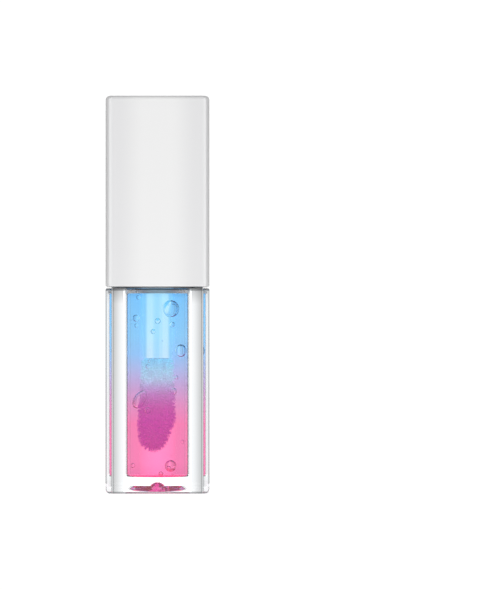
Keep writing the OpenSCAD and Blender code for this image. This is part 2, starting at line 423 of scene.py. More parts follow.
# %% Rings of the base
RECESS_R = 7.2 * MM
RECESS_DEPTH = 1.45 * MM
RECESS_SLOPE = math.radians(40)
GATE_R = 1.5 * MM
GATE_DEPTH = 0.7 * MM
STUB_R = 0.5 * MM
STUB_L = 0.25 * MM
STUB_EDGE = 0.1 * MM
DOME_STEPS = 8

dome_r = (GATE_R ** 2 + GATE_DEPTH ** 2) / (2 * GATE_DEPTH)
dome_centre = RECESS_DEPTH + GATE_DEPTH - dome_r
stub_z = RECESS_DEPTH + GATE_DEPTH - STUB_L
base_rings = [round_ring(STUB_R - STUB_EDGE, stub_z), round_ring(STUB_R, stub_z + HOLD)]
for step in range(DOME_STEPS + 1):
    radius = STUB_R + (GATE_R - STUB_R) * step / DOME_STEPS
    base_rings.append(round_ring(radius, dome_centre + math.sqrt(dome_r ** 2 - radius ** 2)))
recess_top_r = RECESS_R - RECESS_DEPTH / math.tan(RECESS_SLOPE)
base_rings += [round_ring(r, RECESS_DEPTH) for r in (GATE_R + HOLD, recess_top_r - HOLD, recess_top_r)]
base_rings += [round_ring(r, 0) for r in (RECESS_R, RECESS_R + HOLD)]
print("base has", len(base_rings), "rings, dome radius", round(dome_r / MM, 2), "mm")

# %% [markdown]
# ## The outside of the bottle
# The four upright corners are rounded, and each has a narrow flat facet across it, which catches
# one straight bright line. A facet replaces the middle of a corner's arc, so the ring keeps its
# number of points. The same ring is drawn in to make the fillets at the foot and the shoulder.

# %% Rings of the outside
FACET_W = 1.3 * MM
FACET_OUT = (2 * HALF - FACET_W) / math.sqrt(2)
FACET_SPREAD = 1.5
NEARLY = 0.999
ARC_SHARE = 3
ARC_STEPS = 8
BOTTLE_FOOT_R = 0.9 * MM
BOTTLE_HEAD_R = 0.35 * MM


def facet_ring(inset, z):
    """The bottle's section drawn in by an inset: a rounded square with a flat facet on each corner."""
    ring = square_ring(HALF - inset, CORNER_R - inset, z)
    flat = HALF - CORNER_R
    corner = CORNER_R - inset
    reach = FACET_OUT - inset - flat * math.sqrt(2)
    if reach >= corner * NEARLY:
        return ring
    meets = math.pi / 4 - math.acos(reach / corner)
    angles = [meets * i / ARC_SHARE for i in range(ARC_SHARE + 1)]
    points = [(flat + corner * math.cos(a), flat + corner * math.sin(a)) for a in angles]
    near, far = points[-1]
    steps = CORNER_STEPS - 2 * ARC_SHARE
    for i in range(1, steps):
        share = max(0, min(1, (i / steps - 0.5) * FACET_SPREAD + 0.5))
        points.append((near + (far - near) * share, far + (near - far) * share))
    points += [(y, x) for x, y in reversed(points[:ARC_SHARE + 1])]
    for quarter in range(4):
        start = quarter * (FLAT_STEPS + CORNER_STEPS) + FLAT_STEPS
        ring[start:start + CORNER_STEPS] = in_quarter(points[:CORNER_STEPS], quarter, z)
    return ring


outer_rings = [facet_ring(BOTTLE_FOOT_R + HOLD, 0)]
for angle in arc(0, 90, ARC_STEPS):
    height = BOTTLE_FOOT_R * (1 - math.cos(angle))
    outer_rings.append(facet_ring(BOTTLE_FOOT_R * (1 - math.sin(angle)), height))
outer_rings.append(facet_ring(0, BOTTLE_FOOT_R + HOLD))
outer_rings.append(facet_ring(0, SHOULDER_Z - BOTTLE_HEAD_R - HOLD))
for angle in arc(90, 0, ARC_STEPS):
    height = SHOULDER_Z - BOTTLE_HEAD_R * (1 - math.cos(angle))
    outer_rings.append(facet_ring(BOTTLE_HEAD_R * (1 - math.sin(angle)), height))
outer_rings.append(facet_ring(BOTTLE_HEAD_R + HOLD, SHOULDER_Z))
print("outside has", len(outer_rings), "rings")

# %% [markdown]
# ## The neck and the cavity
# From the shoulder the outline turns up the neck, in rows close enough together to draw the thread,
# over the chamfered rim and straight down the bore to the filleted floor. The bore has a ring at
# the shoulder and one at the gloss's level, so that each stretch can have its own material.

# %% Rings of the neck and the bore
NECK_CHAMFER = 0.3 * MM
NECK_ROWS = 84
FOOT_R = 0.5 * MM

neck_rings = [round_ring(NECK_R + HOLD, SHOULDER_Z), round_ring(NECK_R, SHOULDER_Z)]
neck_top = RIM_Z - NECK_CHAMFER
for row in range(1, NECK_ROWS):
    neck_rings.append(neck_ring(SHOULDER_Z + (neck_top - SHOULDER_Z) * row / NECK_ROWS))
neck_rings += [round_ring(NECK_R, neck_top), round_ring(NECK_R - NECK_CHAMFER, RIM_Z)]

bore_rings = [round_ring(CAVITY_R + HOLD, RIM_Z)]
bore_rings += [round_ring(CAVITY_R, z) for z in (RIM_Z, SHOULDER_Z, GLOSS_Z)]
bore_rings.append(round_ring(CAVITY_R, FLOOR_Z + FOOT_R + HOLD))
for angle in arc(0, 90, ARC_STEPS):
    radius = CAVITY_R - FOOT_R * (1 - math.cos(angle))
    bore_rings.append(round_ring(radius, FLOOR_Z + FOOT_R * (1 - math.sin(angle))))
bore_rings.append(round_ring(CAVITY_R - FOOT_R - HOLD, FLOOR_Z))
print("neck has", len(neck_rings), "rings and the bore", len(bore_rings))

# %% [markdown]
# ## Join and mark the bottle
# One loft runs through all the rings. Each face inside the cavity then gets the wetted or the smeared
# material by its height, and each face on an outer edge gets its share of painted edge shade.

# %% Bottle
WETTED, SMEARED_SHADED = 1, 2
BESIDE_FACET = 0.65 * MM
EDGE_SHADE_BAND = 0.36 * MM
HEAD_SHADE = 1.0
FOOT_SHADE = 0.85
CORNER_SHADE = 0.7

bottle = loft("bottle_body", base_rings + outer_rings + neck_rings + bore_rings, sharp_angle=20)
face_out(bottle)
for plastic in (clear_copolyester(), wetted_copolyester(), smeared_shaded_copolyester()):
    bottle.data.materials.append(plastic)
painted_edge_shade = bottle.data.attributes.new("painted_edge_shade", "FLOAT", "FACE")
for face in bottle.data.polygons:
    x, y, z = abs(face.center.x), abs(face.center.y), face.center.z
    in_bore = math.hypot(x, y) < CAVITY_R + HOLD / 2 and FLOOR_Z - HOLD < z < SHOULDER_Z
    if in_bore:
        face.material_index = WETTED if z < GLOSS_Z else SMEARED_SHADED
    # Painted shade: the corners, the foot and the shoulder under the cap get a dark colour.
    at_corner = min(x, y) > HALF - CORNER_R and abs(x - y) > BESIDE_FACET * math.sqrt(2)
    at_foot = z < EDGE_SHADE_BAND and max(x, y) > RECESS_R + HOLD
    at_head = SHOULDER_Z - EDGE_SHADE_BAND < z < SHOULDER_Z + HOLD and math.hypot(x, y) > NECK_R
    shade_amount = HEAD_SHADE if at_head else FOOT_SHADE if at_foot else CORNER_SHADE if at_corner else 0.0
    painted_edge_shade.data[face.index].value = shade_amount
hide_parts("bottle")
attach(bottle, "bottle")

# %% [markdown]
# ## Two-colour gloss
# Lip gloss is a clear, thick oil gel, dyed and full of trapped air. The two fills bleed into each
# other between the layers, so the colour is one soft blend up the height. Part of the dye's colour
# lies in the skin, which keeps it even, and the rest in the depth, which makes thick places
# stronger. Its sides have no index of their own, because the bottle's wetted wall already bends
# the light there. Its free surface and its bubbles meet air, so they have one. All its faces
# share a material, because a renderer can only follow one liquid at a time, and three numbers on
# each face tell them apart: bend is the index, dyed is how much skin colour it has, and the third
# is how much the flat bottom glows, a painted light that stands for the red light gathering there.

# %% Gloss colours
# Each stop is (height in mm, the colour of white light that has crossed the whole fill).
BLEND_STOPS = (
    (3.2, "#F472A8"),
    (6.0, "#FF7CB2"),
    (14.0, "#FF7AB2"),
    (18.0, "#E88CC2"),
    (22.0, "#C6A4D8"),
    (25.0, "#AEB8EA"),
    (28.0, "#92C4F8"),
    (32.0, "#88CCFC"),
    (39.4, "#78C6FF"),
    (40.4, "#66B4F0"),
)
SKIN_SHARE = 0.85
DYE_DEPTH = 3.0
# Painted light: the colour and strength of the glow on the gloss's flat bottom.
BOTTOM_PAINTED_GLOW = "#C04A60"
BOTTOM_PAINTED_GLOW_LEVEL = 0.5


def height_blend(tree, stops, change=linear):
    """A colour that depends only on the height above the base, from (mm, hex) pairs."""
    place = add(tree, "ShaderNodeTexCoord").outputs["Object"]
    height = add(tree, "ShaderNodeSeparateXYZ", {0: place}).outputs["Z"]
    low, high = stops[0][0] * MM, stops[-1][0] * MM
    share = add(tree, "ShaderNodeMapRange", {0: height, 1: low, 2: high}).outputs[0]
    ramp = add(tree, "ShaderNodeValToRGB", {0: share})
    return set_stops(ramp, [((mm * MM - low) / (high - low), change(colour)) for mm, colour in stops])


def skin(hex_colour):
    """The part of the dye's colour that the gloss's surface carries."""
    return (*(c ** SKIN_SHARE for c in linear(hex_colour)[:3]), 1.0)


def dye(hex_colour):
    """The Volume Absorption colour that gives the rest of it across the cavity's diameter."""
    parts = (1 + (1 - SKIN_SHARE) * math.log(max(c, 0.02)) / DYE_DEPTH for c in linear(hex_colour)[:3])
    return (*(max(0.0, min(1.0, c)) for c in parts), 1.0)


def dyed_gloss():
    """Dyed oil gel: part of its colour lies in the skin, and the rest deepens with the distance."""
    material, shader = new_material("dyed_oil_gel_two_colour")
    tree = material.node_tree
    shader.inputs["Transmission Weight"].default_value = 1
    shader.inputs["Roughness"].default_value = 0
    bend = add(tree, "ShaderNodeAttribute", attribute_name="bend").outputs["Fac"]
    dyed = add(tree, "ShaderNodeAttribute", attribute_name="dyed").outputs["Fac"]
    tree.links.new(bend, shader.inputs["IOR"])
    surface = height_blend(tree, BLEND_STOPS, skin)
    mix = add(tree, "ShaderNodeMix", {0: dyed, 6: (1, 1, 1, 1), 7: surface}, data_type="RGBA")
    tree.links.new(mix.outputs[2], shader.inputs["Base Color"])
    colour = height_blend(tree, BLEND_STOPS, dye)
    density = DYE_DEPTH / (2 * CAVITY_R)
    volume = add(tree, "ShaderNodeVolumeAbsorption", {"Color": colour, "Density": density})
    tree.links.new(volume.outputs[0], output_of(tree).inputs["Volume"])
    # Painted light: the flat bottom's emission stands for the red light that gathers there.
    painted_bottom_light = add(tree, "ShaderNodeAttribute", attribute_name="painted_bottom_light").outputs["Fac"]
    tree.links.new(painted_bottom_light, shader.inputs["Emission Strength"])
    shader.inputs["Emission Color"].default_value = linear(BOTTOM_PAINTED_GLOW)
    return material


gloss_material = dyed_gloss()
print("gloss colours from", BLEND_STOPS[0][0], "to", BLEND_STOPS[-1][0], "mm up")

# %% [markdown]
# ## Air bubbles
# Thick gloss keeps the air that is stirred into it. A bubble is a hole in the gloss, so its skin
# faces inwards, and it bends light the opposite way to a glass ball: that draws the thin dark
# ring. The big ones are squeezed between the rod and the wall.

# %% Bubble list
# Each bubble is (x, height, radius) in mm. Its depth follows from where there is room for it.
BUBBLES = (
    (2.8, 37.3, 1.8), (-4.5, 35.4, 0.73), (0.05, 34.8, 0.62), (3.0, 34.1, 0.6), (-0.9, 32.7, 0.52),
    (1.0, 30.8, 0.16), (5.1, 28.8, 1.32), (-4.0, 39.6, 0.48), (-4.5, 33.9, 0.42), (-1.95, 25.6, 0.5),
    (-1.65, 26.7, 0.32), (4.0, 23.4, 0.4), (3.35, 20.6, 0.69), (-2.0, 16.7, 0.64), (5.5, 10.3, 0.4),
    (2.7, 5.5, 1.2), (-5.4, 5.5, 0.5), (0.7, 3.9, 0.5), (2.9, 7.5, 0.14), (3.1, 3.7, 0.16),
    (-5.7, 35.0, 0.15), (-5.6, 34.2, 0.12), (-5.8, 30.1, 0.12), (2.3, 38.1, 0.12), (3.4, 36.2, 0.1),
)
NEAR_BUBBLE = (2.25, 5.0, 0.54)
PEAR = ((-4.05, 18.4, 1.42), (-3.1, 19.8, 0.98))
PEAR_FLAT = 0.8
BUBBLE_IOR = 1.18
BALL_LEVELS = 3
WALL_GAP = 0.1 * MM
ROD_CLEAR = 3.42 * MM


def void(work, place):
    """One void: a small ball with each point put in its place and its faces turned inwards."""
    made = bmesh.ops.create_icosphere(work, subdivisions=BALL_LEVELS, radius=1)
    for vert in made["verts"]:
        vert.co = place(vert.co.copy())
    faces = {face for vert in made["verts"] for face in vert.link_faces}
    bmesh.ops.reverse_faces(work, faces=list(faces))
    for face in faces:
        face.smooth = True


def bubble(centre, radii, turn=0.0):
    """A rule that puts a unit ball's point on a bubble, turned about the upright axis."""
    c, s = math.cos(turn), math.sin(turn)

    def place(unit):
        x, y, z = (unit[i] * radii[i] for i in range(3))
        return (centre[0] + x * c - y * s, centre[1] + x * s + y * c, centre[2] + z)
    return place


def depth_for(x, radius):
    """How far in front of the axis a bubble sits: halfway between the rod and the wall."""
    room = CAVITY_R - WALL_GAP - radius
    distance = max(abs(x), min((ROD_CLEAR + CAVITY_R - WALL_GAP) / 2, room))
    return -math.sqrt(max(0.0, distance ** 2 - x ** 2))


def pear_point(unit):
    """A pear: its middle and its size run from the big lobe to the small one."""
    big, small = (Vector((x * MM, 0, z * MM)) for x, z, _ in PEAR)
    along = (small - big).normalized()
    share = (unit.dot(along) + 1) / 2
    radius = (PEAR[0][2] + (PEAR[1][2] - PEAR[0][2]) * share) * MM
    core = big.lerp(small, share)
    depth = depth_for(core.x, radius)
    return (core.x + unit.x * radius, depth + unit.y * radius * PEAR_FLAT, core.z + unit.z * radius)


print(len(BUBBLES) + 2, "bubbles")

# %% [markdown]
# ## The gloss body
# The gloss fills the cavity to its fillet, a hair inside the wall so that the two skins never
# share a place. Its surface dips slightly to the middle. The bubbles are voids in the same mesh,
# with their skins facing inwards, and the three numbers are written on every face.

# %% Gloss body
GAP = 0.01 * MM
DIP_IN = 0.4 * MM
DIP = 0.05 * MM
TOP_FACING = 0.5
FLAT_DOWN = -0.9

gloss_rings = [round_ring(CAVITY_R - FOOT_R - HOLD, FLOOR_Z + GAP)]
for angle in arc(90, 0, ARC_STEPS):
    radius = CAVITY_R - GAP - FOOT_R * (1 - math.cos(angle))
    gloss_rings.append(round_ring(radius, FLOOR_Z + GAP + FOOT_R * (1 - math.sin(angle))))
gloss_rings += [round_ring(CAVITY_R - GAP, GLOSS_Z), round_ring(CAVITY_R - DIP_IN, GLOSS_Z - DIP)]
gloss = loft("gloss_fill", gloss_rings)
face_out(gloss)
gloss.data.materials.append(gloss_material)
body_faces = len(gloss.data.polygons)

work = bmesh.new()
work.from_mesh(gloss.data)
for numbers in BUBBLES:
    x, z, radius = (number * MM for number in numbers)
    depth = depth_for(x, radius)
    flat = min(radius, (CAVITY_R - WALL_GAP - ROD_CLEAR) / 2)
    void(work, bubble((x, depth, z), (radius, flat, radius), math.atan2(x, -depth)))
x, z, radius = (number * MM for number in NEAR_BUBBLE)
near_y = -math.sqrt((CAVITY_R - WALL_GAP - radius) ** 2 - x ** 2)
void(work, bubble((x, near_y, z), (radius, radius, radius)))
void(work, pear_point)
work.to_mesh(gloss.data)
work.free()
print("gloss has", len(gloss.data.polygons), "faces")
FACE_NUMBERS = ("bend", "dyed", "painted_bottom_light")
for name in FACE_NUMBERS:
    gloss.data.attributes.new(name, "FLOAT", "FACE")
bend, dyed, painted_bottom_light = (gloss.data.attributes[name].data for name in FACE_NUMBERS)
for face in gloss.data.polygons:
    in_void = face.index >= body_faces
    at_top = not in_void and face.normal.z > TOP_FACING
    at_bottom = not in_void and face.normal.z < FLAT_DOWN
    bend[face.index].value = BUBBLE_IOR if in_void else GLOSS_IOR if at_top else 1.0
    dyed[face.index].value = 0.0 if in_void else 1.0
    painted_bottom_light[face.index].value = BOTTOM_PAINTED_GLOW_LEVEL if at_bottom else 0.0
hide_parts("gloss_pink", "gloss_blue")
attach(gloss, "bottle")

# %% [markdown]
# ## Glossy white plastic
# The outer cap is injection-moulded ABS, bright white and polished. Its colour holds painted shade:
# each side is painted a little lighter in its middle and darker towards its corners, as the lamps
# fall across it. A smooth step across each side does that, and Layer Weight greys the faces that
# turn away, which is painted shade too.

# %% Cap material
PAINTED_BRIGHT_R = 2.5 * MM
PAINTED_SHADE_R = 8.2 * MM
CAP_SLANT_SHADE_FROM = 0.25
CAP_SLANT_SHADE_FULL = 0.7
CAP_SLANT_SHADE_LEVEL = 0.72


def white_abs():
    """Polished ABS: a clean white with a soft, slightly spread reflection, and painted shade across each side.
    """
    material, shader = new_material("abs_moulded_gloss_white")
    tree = material.node_tree
    shader.inputs["IOR"].default_value = 1.8
    # Painted shade: each side is painted lighter in its middle and darker towards its corners.
    place = add(tree, "ShaderNodeTexCoord").outputs["Object"]
    sides = add(tree, "ShaderNodeVectorMath", {0: place}, operation="ABSOLUTE").outputs[0]
    sides = add(tree, "ShaderNodeSeparateXYZ", {0: sides}).outputs
    across = add(tree, "ShaderNodeMath", {0: sides["X"], 1: sides["Y"]}, operation="MINIMUM").outputs[0]
    away = add(tree, "ShaderNodeMapRange", {0: across, 1: PAINTED_BRIGHT_R, 2: PAINTED_SHADE_R},
               interpolation_type="SMOOTHSTEP").outputs[0]
    mix = add(tree, "ShaderNodeMix", {0: away, 6: linear("#E7E7E7"), 7: linear("#DCDCDD")}, data_type="RGBA")
    # Painted shade: Layer Weight greys the faces that turn away.
    slant_shade = add(tree, "ShaderNodeLayerWeight", {"Blend": 0.5}).outputs["Facing"]
    slant_shade = add(tree, "ShaderNodeMapRange", {0: slant_shade, 1: CAP_SLANT_SHADE_FROM, 2: CAP_SLANT_SHADE_FULL,
                                              3: 1.0, 4: CAP_SLANT_SHADE_LEVEL}).outputs[0]
    shade = add(tree, "ShaderNodeMix", {0: 1.0, 6: mix.outputs[2], 7: slant_shade},
                data_type="RGBA", blend_type="MULTIPLY")
    tree.links.new(shade.outputs[2], shader.inputs["Base Color"])
    tree.links.new(spread(tree, speckle(tree, 1.5), 0.1, 0.14), shader.inputs["Roughness"])
    grain(tree, shader, 0.8, 0.002)
    return material


cap_material = white_abs()
print("cap material", cap_material.name)

# %% [markdown]
# ## The cap's shell
# The walls are straight, the corners match the bottle's, the top edge has a soft fillet and the
# rim a small one, so that it doesn't feel sharp. The outline starts at the middle of the ceiling
# inside, comes down the inner wall, turns round the rim and goes up the outside.

# %% Cap shell
CAP_EDGE_R = 0.9 * MM
CAP_RIM_R = 0.3 * MM
CAP_WALL = 1.2 * MM
CAP_TOP_T = 1.4 * MM
INNER_HALF = HALF - CAP_WALL
INNER_CORNER = CORNER_R - CAP_WALL
CEILING_HALF = HALF * 0.3
CEILING_CORNER = CORNER_R * 0.2

ceiling = TOP_Z - CAP_TOP_T
inner_rings = [square_ring(CEILING_HALF, CEILING_CORNER, ceiling)]
inner_rings.append(square_ring(INNER_HALF - HOLD, INNER_CORNER, ceiling))
for height in (ceiling, ceiling - HOLD, CAP_Z + HOLD, CAP_Z):
    inner_rings.append(square_ring(INNER_HALF, INNER_CORNER, height))

cap_rings = []
for angle in arc(0, 90, ARC_STEPS):
    inset = CAP_RIM_R * (1 - math.sin(angle))
    height = CAP_Z + CAP_RIM_R * (1 - math.cos(angle))
    cap_rings.append(square_ring(HALF - inset, CORNER_R - inset, height))
cap_rings.append(square_ring(HALF, CORNER_R, CAP_Z + CAP_RIM_R + HOLD))
cap_rings.append(square_ring(HALF, CORNER_R, TOP_Z - CAP_EDGE_R - HOLD))
for angle in arc(90, 0, ARC_STEPS):
    inset = CAP_EDGE_R * (1 - math.sin(angle))
    height = TOP_Z - CAP_EDGE_R * (1 - math.cos(angle))
    cap_rings.append(square_ring(HALF - inset, CORNER_R - inset, height))
cap_rings.append(square_ring(HALF - CAP_EDGE_R - HOLD, CORNER_R - CAP_EDGE_R, TOP_Z))

cap = loft("cap_outer", inner_rings + cap_rings)
face_out(cap)
cap.data.materials.append(cap_material)
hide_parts("cap_shell")
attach(cap, "cap")

# %% [markdown]
# ## Turned pieces inside
# The rod, the wiper, the sealing ring, the inner cap and the tip's core keep the model's shapes.
# A copy of each is merged and smooth-shaded, so that its round walls look round.

# %% Smooth copies
MERGE = 0.001 * MM
SMOOTH_ANGLE = math.radians(32)


def smooth_copy(node, name, material, body):
    """A merged, smooth-shaded copy of a model node."""
    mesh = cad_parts[node].data.copy()
    work = bmesh.new()
    work.from_mesh(mesh)
    bmesh.ops.remove_doubles(work, verts=work.verts, dist=MERGE)
    work.to_mesh(mesh)
    work.free()
    mesh.shade_smooth()
    mesh.set_sharp_from_angle(angle=SMOOTH_ANGLE)

    mesh.materials.clear()
    mesh.materials.append(material)
    piece = bpy.data.objects.new(name, mesh)
    bpy.context.scene.collection.objects.link(piece)
    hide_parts(node)
    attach(piece, body)
    print(name, len(mesh.polygons), "faces")
    return piece

print("merge distance", round(MERGE / MM, 4), "mm")

# %% [markdown]
# ## Milky rod
# The rod is natural polypropylene: milky, so it gathers light from all round. In the gloss it
# looks bright, with a pale band at each side. Out in the air the same rod looks plainly milky.
# Path tracing through a milky solid is slow and noisy, so emission is painted light standing for
# the gathered light, and its pale bands are painted highlights. Inside the gloss the base colour is
# painted dark, so that the painted glow carries the rod's look there.
# Transmission Depth counts the surfaces that a ray has come through, and more than two of them
# mean that the rod is seen through the wall and the gloss, which switches the emission up.

# %% Rod material
LIQUID_CROSSINGS = 2.5
ROD_PAINTED_GLOW_LEVEL = (0.3, 1.05)
ROD_PAINTED_GLOW = (
    (0.0, "#98DEF4"),
    (0.2, "#98DEF4"),
    (0.32, "#F6FFF7"),
    (0.44, "#F6FFF7"),
    (0.58, "#B6E2F4"),
    (1.0, "#A8D6EC"),
)


def in_liquid(tree, dry, wet):
    """A switch that is 1 where the piece is seen through wall and gloss, and one value for each."""
    crossed = add(tree, "ShaderNodeLightPath").outputs["Transmission Depth"]
    wetted = add(tree, "ShaderNodeMath",
                 {0: crossed, 1: LIQUID_CROSSINGS}, operation="GREATER_THAN").outputs[0]
    return wetted, add(tree, "ShaderNodeMapRange", {0: wetted, 3: dry, 4: wet}).outputs[0]


def milky_polypropylene():
    """Natural polypropylene with a polished skin: a painted glow and painted side highlights stand for the
    light it passes on.
    """

    material, shader = new_material("polypropylene_moulded_natural")
    tree = material.node_tree
    shader.inputs["IOR"].default_value = 1.49
    shader.inputs["Coat Weight"].default_value = 0.4
    shader.inputs["Coat IOR"].default_value = 1.5
    shader.inputs["Coat Roughness"].default_value = 0.1
    # Painted highlight: the glow's colour runs by facing, with a pale band at each side.
    facing = add(tree, "ShaderNodeLayerWeight", {"Blend": 0.5}).outputs["Facing"]
    glow = add(tree, "ShaderNodeValToRGB", {0: facing})
    colour = set_stops(glow, [(place, linear(hex_colour)) for place, hex_colour in ROD_PAINTED_GLOW])
    tree.links.new(colour, shader.inputs["Emission Color"])
    wetted, level = in_liquid(tree, *ROD_PAINTED_GLOW_LEVEL)
    tree.links.new(level, shader.inputs["Emission Strength"])
    patch = spread(tree, speckle(tree, 3), 0, 1)
    milky = add(tree, "ShaderNodeMix",
                {0: patch, 6: linear("#D3DCE0"), 7: linear("#CAD5DA")}, data_type="RGBA")
    # Painted shade: inside the gloss the base colour turns dark.
    base = add(tree, "ShaderNodeMix",
               {0: wetted, 6: milky.outputs[2], 7: linear("#5E6C76")}, data_type="RGBA")
    tree.links.new(base.outputs[2], shader.inputs["Base Color"])
    tree.links.new(spread(tree, speckle(tree, 0.6), 0.3, 0.38), shader.inputs["Roughness"])
    grain(tree, shader, 0.4, 0.001)
    return material


rod_material = milky_polypropylene()
smooth_copy("applicator_rod", "rod", rod_material, "cap")

# %% [markdown]
# ## Soft pale plastics
# The wiper, the sealing ring, the inner cap and the tip's core are all pale and waxy, and mostly
# hidden. They share one recipe with slightly different whites: a satin skin, a fine grain and a
# faint drift of colour, which is what soft moulded polyethylene shows under a lamp.

# %% Soft pieces
def satin_polyethylene(name, first, second):
    """Soft moulded polyethylene or foam: pale, waxy and evenly dull."""
    material, shader = new_material(name)
    tree = material.node_tree
    shader.inputs["IOR"].default_value = 1.51
    tint(tree, shader, 2, first, second)
    tree.links.new(spread(tree, speckle(tree, 0.5), 0.42, 0.55), shader.inputs["Roughness"])
    grain(tree, shader, 0.25, 0.004)
    return material


wiper_material = satin_polyethylene("polyethylene_moulded_soft", "#EDEEEC", "#E4E6E4")
ring_material = satin_polyethylene("polyethylene_foam_cut", "#F2F2F0", "#E6E6E3")
inner_material = satin_polyethylene("polypropylene_moulded_white", "#E9EAEA", "#E2E3E4")
core_material = satin_polyethylene("elastomer_moulded_pale", "#E3DCE6", "#DAD2DF")
smooth_copy("wiper", "neck_wiper", wiper_material, "bottle")
smooth_copy("sealing_ring", "seal_washer", ring_material, "seal")
smooth_copy("inner_cap", "cap_inner", inner_material, "cap")
smooth_copy("applicator_core", "tip_core", core_material, "cap")

# %% [markdown]
# ## The flocked tip
# Flock is short nylon fibre, fired end-on into glue by an electric field, so it stands up like
# velvet. First comes the mat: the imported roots, which look solid. Then Geometry Nodes plant
# thousands of single fibres on it, each a thin tapered needle, leaning a little at random.

# %% Flock material
FLOCK_PAINTED_GLOW = (0.12, 0.45)
FLOCK_STOPS = (
    (8.5, "#C270BE"),
    (14.0, "#C675C6"),
    (17.0, "#CC82C5"),
    (20.0, "#D0AFD2"),
    (23.0, "#CFE8E6"),
    (25.0, "#CBE8E6"),
    (27.3, "#B8E0E7"),
)


def soaked_flock():
    """Nylon flock soaked in gloss: it takes the colour of what it stands in, and glows with painted light."""
    material, shader = new_material("nylon_flock_soaked")
    tree = material.node_tree
    shader.inputs["IOR"].default_value = 1.53
    shader.inputs["Specular IOR Level"].default_value = 0.2
    colour = height_blend(tree, FLOCK_STOPS)
    patch = spread(tree, speckle(tree, 0.35), 0.92, 1.06)
    shade = add(tree, "ShaderNodeMix", {0: 1.0, 6: colour, 7: patch}, data_type="RGBA", blend_type="MULTIPLY")
    tree.links.new(shade.outputs[2], shader.inputs["Base Color"])
    # Painted light: the flock glows in its own colour, more strongly in the gloss.
    tree.links.new(shade.outputs[2], shader.inputs["Emission Color"])
    tree.links.new(in_liquid(tree, *FLOCK_PAINTED_GLOW)[1], shader.inputs["Emission Strength"])
    tree.links.new(spread(tree, speckle(tree, 0.3), 0.6, 0.75), shader.inputs["Roughness"])
    return material


flock_material = soaked_flock()
print("flock colours from", FLOCK_STOPS[0][0], "to", FLOCK_STOPS[-1][0], "mm up")

# %% [markdown]
# ## The flock mat
# The mat is the flock's own shape, wrapped in one convex skin, evened out by a voxel remesh so
# that fibres will spread evenly on it, and then drawn in, to leave the fibres their length.

# %% Flock mat
MAT_SET = 0.4 * MM
MAT_VOXEL = 0.16 * MM
work = bmesh.new()
work.from_mesh(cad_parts["applicator_flock"].data)
bmesh.ops.remove_doubles(work, verts=work.verts, dist=MERGE)
hull = bmesh.ops.convex_hull(work, input=work.verts)
inner = [v for v in hull["geom_interior"] if isinstance(v, bmesh.types.BMVert)]
bmesh.ops.delete(work, geom=inner, context="VERTS")
bmesh.ops.recalc_face_normals(work, faces=work.faces)
hull_mesh = bpy.data.meshes.new("tip_flock")
work.to_mesh(hull_mesh)
work.free()
flock = bpy.data.objects.new("tip_flock", hull_mesh)
bpy.context.scene.collection.objects.link(flock)
even = flock.modifiers.new("even", "REMESH")
even.mode = "VOXEL"
even.voxel_size = MAT_VOXEL
shrink = flock.modifiers.new("shrink", "DISPLACE")
shrink.strength = -MAT_SET
shrink.mid_level = 0
bpy.context.view_layer.update()
mat_mesh = bpy.data.meshes.new_from_object(flock.evaluated_get(bpy.context.evaluated_depsgraph_get()))
flock.modifiers.clear()
flock.data = mat_mesh
mat_mesh.shade_smooth()
mat_mesh.materials.clear()
mat_mesh.materials.append(flock_material)
print("flock mat has", len(mat_mesh.polygons), "faces")

# %% [markdown]
# ## One fibre
# A flock fibre is a straight piece of nylon, so four sides and two ends are enough. It starts just
# inside the mat, so that no gap shows at its root, and it narrows to the tip. A real fibre is one
# or two hundredths of a millimetre thick, too fine to show, so it is drawn as thick as it needs.

# %% One fibre
FIBRE_R = 0.075 * MM
FIBRE_L = 0.9 * MM
ROOT_DEPTH = 0.1
FIBRE_TAPER = 0.4
FIBRE_SHARP = 80
fibre_points = []
for height, share in ((-ROOT_DEPTH, 1.0), (1.0, FIBRE_TAPER)):
    for i in range(4):
        angle = math.pi / 2 * i
        x, y = FIBRE_R * share * math.cos(angle), FIBRE_R * share * math.sin(angle)
        fibre_points.append((x, y, FIBRE_L * height))
fibre_faces = [(3, 2, 1, 0), (4, 5, 6, 7)]
fibre_faces += [(i, (i + 1) % 4, 4 + (i + 1) % 4, 4 + i) for i in range(4)]
fibre = new_mesh("fibre_shape", fibre_points, fibre_faces, FIBRE_SHARP)
fibre.data.materials.append(flock_material)
print("one fibre has", len(fibre_faces), "faces")

# %% [markdown]
# ## The planting tree
# The tree scatters points on the mat, turns each to the surface and leans it a little at random,
# stands a fibre of a random length on it, and joins the fibres to the mat. Density, lean, seed,
# fibre and material are named inputs, so the same tree could plant a brush or a carpet.

# %% Planting tree
SHORTEST = 0.7
planting = bpy.data.node_groups.new("plant_flock", "GeometryNodeTree")
planting.interface.new_socket("Geometry", in_out="INPUT", socket_type="NodeSocketGeometry")
for label, kind in (("Fibre", "NodeSocketObject"), ("Density", "NodeSocketFloat"),
                    ("Lean", "NodeSocketFloat"), ("Seed", "NodeSocketInt"), ("Material", "NodeSocketMaterial")):
    planting.interface.new_socket(label, in_out="INPUT", socket_type=kind)
planting.interface.new_socket("Geometry", in_out="OUTPUT", socket_type="NodeSocketGeometry")
given = add(planting, "NodeGroupInput").outputs
scatter = add(planting, "GeometryNodeDistributePointsOnFaces",
              {"Mesh": given["Geometry"], "Density": given["Density"], "Seed": given["Seed"]})
lean_high = add(planting, "ShaderNodeCombineXYZ",
                {0: given["Lean"], 1: given["Lean"], 2: math.pi}).outputs[0]
lean_low = add(planting, "ShaderNodeVectorMath",
               {0: lean_high, 1: (-1, -1, -1)}, operation="MULTIPLY").outputs[0]
tilt = add(planting, "FunctionNodeRandomValue",
           {0: lean_low, 1: lean_high, "Seed": given["Seed"]}, data_type="FLOAT_VECTOR")
